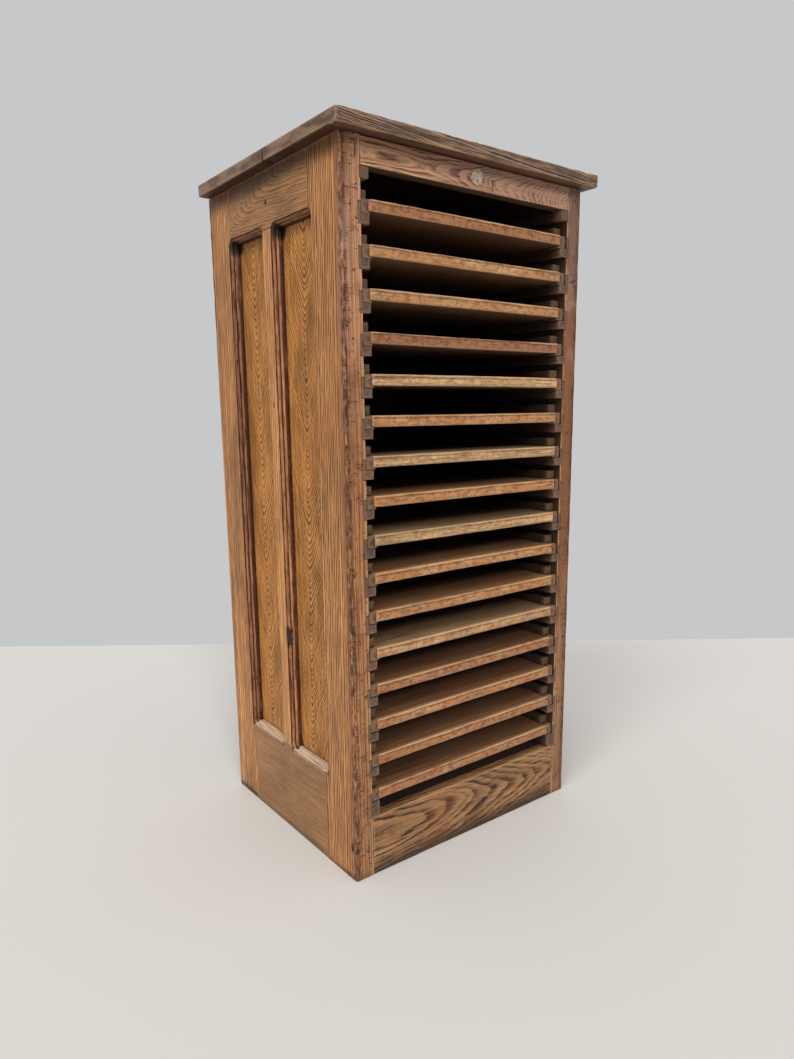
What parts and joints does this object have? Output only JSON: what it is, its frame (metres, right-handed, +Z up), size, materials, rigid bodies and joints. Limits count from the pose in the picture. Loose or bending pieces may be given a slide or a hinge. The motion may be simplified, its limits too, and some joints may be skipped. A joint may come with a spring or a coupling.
{
  "type": "printers cabinet",
  "caption": "Oak print-shop cabinet: panelled sides, two-board top and a front stack of flat rimmed trays that slide out on wooden runners.",
  "frame": {"origin": "on the floor, under the middle of the bounding box at rest", "axes": "+Z up, front with the trays towards -Y, +X to the right seen from the front"},
  "size_m": [0.568, 0.482, 1.217],
  "materials": {
    "case_oak": "aged oak, worn satin finish",
    "panel_oak": "aged oak, plain-sawn, worn satin finish",
    "top_oak": "dark aged oak, worn edges",
    "inside_oak": "dark unfinished oak",
    "tray_board_oak": "worn bare wood",
    "tray_edging_oak": "dark worn oak"
  },
  "bodies": {
    "case": {"left_front_post": "case_oak", "left_rear_post": "case_oak", "left_top_rail": "case_oak", "left_bottom_rail": "case_oak", "left_mullion": "case_oak", "left_front_panel": "panel_oak", "left_rear_panel": "panel_oak", "right_front_post": "case_oak", "right_rear_post": "case_oak", "right_top_rail": "case_oak", "right_bottom_rail": "case_oak", "right_mullion": "case_oak", "right_front_panel": "panel_oak", "right_rear_panel": "panel_oak", "front_top_rail": "case_oak", "front_bottom_rail": "case_oak", "back_top_rail": "inside_oak", "back_bottom_rail": "inside_oak", "bottom_board": "inside_oak", "back_board_1": "inside_oak", "back_board_2": "inside_oak", "back_board_3": "inside_oak", "back_board_4": "inside_oak", "top_front_board": "top_oak", "top_rear_board": "top_oak"},
    "tray_01": {"tray_01_board": "tray_board_oak", "tray_01_edging": "tray_edging_oak"},
    "tray_02": {"tray_02_board": "tray_board_oak", "tray_02_edging": "tray_edging_oak"},
    "tray_03": {"tray_03_board": "tray_board_oak", "tray_03_edging": "tray_edging_oak"},
    "tray_04": {"tray_04_board": "tray_board_oak", "tray_04_edging": "tray_edging_oak"},
    "tray_05": {"tray_05_board": "tray_board_oak", "tray_05_edging": "tray_edging_oak"},
    "tray_06": {"tray_06_board": "tray_board_oak", "tray_06_edging": "tray_edging_oak"},
    "tray_07": {"tray_07_board": "tray_board_oak", "tray_07_edging": "tray_edging_oak"},
    "tray_08": {"tray_08_board": "tray_board_oak", "tray_08_edging": "tray_edging_oak"},
    "tray_09": {"tray_09_board": "tray_board_oak", "tray_09_edging": "tray_edging_oak"},
    "tray_10": {"tray_10_board": "tray_board_oak", "tray_10_edging": "tray_edging_oak"},
    "tray_11": {"tray_11_board": "tray_board_oak", "tray_11_edging": "tray_edging_oak"},
    "tray_12": {"tray_12_board": "tray_board_oak", "tray_12_edging": "tray_edging_oak"},
    "tray_13": {"tray_13_board": "tray_board_oak", "tray_13_edging": "tray_edging_oak"},
    "tray_14": {"tray_14_board": "tray_board_oak", "tray_14_edging": "tray_edging_oak"},
    "tray_15": {"tray_15_board": "tray_board_oak", "tray_15_edging": "tray_edging_oak"},
    "tray_16": {"tray_16_board": "tray_board_oak", "tray_16_edging": "tray_edging_oak"}
  },
  "joints": [
    {"name": "tray_01_slide", "type": "slide", "parent": "case", "child": "tray_01", "axis": [0, -1, 0], "range_m": [0, 0.33]},
    {"name": "tray_02_slide", "type": "slide", "parent": "case", "child": "tray_02", "axis": [0, -1, 0], "range_m": [0, 0.33]},
    {"name": "tray_03_slide", "type": "slide", "parent": "case", "child": "tray_03", "axis": [0, -1, 0], "range_m": [0, 0.33]},
    {"name": "tray_04_slide", "type": "slide", "parent": "case", "child": "tray_04", "axis": [0, -1, 0], "range_m": [0, 0.33]},
    {"name": "tray_05_slide", "type": "slide", "parent": "case", "child": "tray_05", "axis": [0, -1, 0], "range_m": [0, 0.33]},
    {"name": "tray_06_slide", "type": "slide", "parent": "case", "child": "tray_06", "axis": [0, -1, 0], "range_m": [0, 0.33]},
    {"name": "tray_07_slide", "type": "slide", "parent": "case", "child": "tray_07", "axis": [0, -1, 0], "range_m": [0, 0.33]},
    {"name": "tray_08_slide", "type": "slide", "parent": "case", "child": "tray_08", "axis": [0, -1, 0], "range_m": [0, 0.33]},
    {"name": "tray_09_slide", "type": "slide", "parent": "case", "child": "tray_09", "axis": [0, -1, 0], "range_m": [0, 0.33]},
    {"name": "tray_10_slide", "type": "slide", "parent": "case", "child": "tray_10", "axis": [0, -1, 0], "range_m": [0, 0.33]},
    {"name": "tray_11_slide", "type": "slide", "parent": "case", "child": "tray_11", "axis": [0, -1, 0], "range_m": [0, 0.33]},
    {"name": "tray_12_slide", "type": "slide", "parent": "case", "child": "tray_12", "axis": [0, -1, 0], "range_m": [0, 0.33]},
    {"name": "tray_13_slide", "type": "slide", "parent": "case", "child": "tray_13", "axis": [0, -1, 0], "range_m": [0, 0.33]},
    {"name": "tray_14_slide", "type": "slide", "parent": "case", "child": "tray_14", "axis": [0, -1, 0], "range_m": [0, 0.33]},
    {"name": "tray_15_slide", "type": "slide", "parent": "case", "child": "tray_15", "axis": [0, -1, 0], "range_m": [0, 0.33]},
    {"name": "tray_16_slide", "type": "slide", "parent": "case", "child": "tray_16", "axis": [0, -1, 0], "range_m": [0, 0.33]}
  ]
}
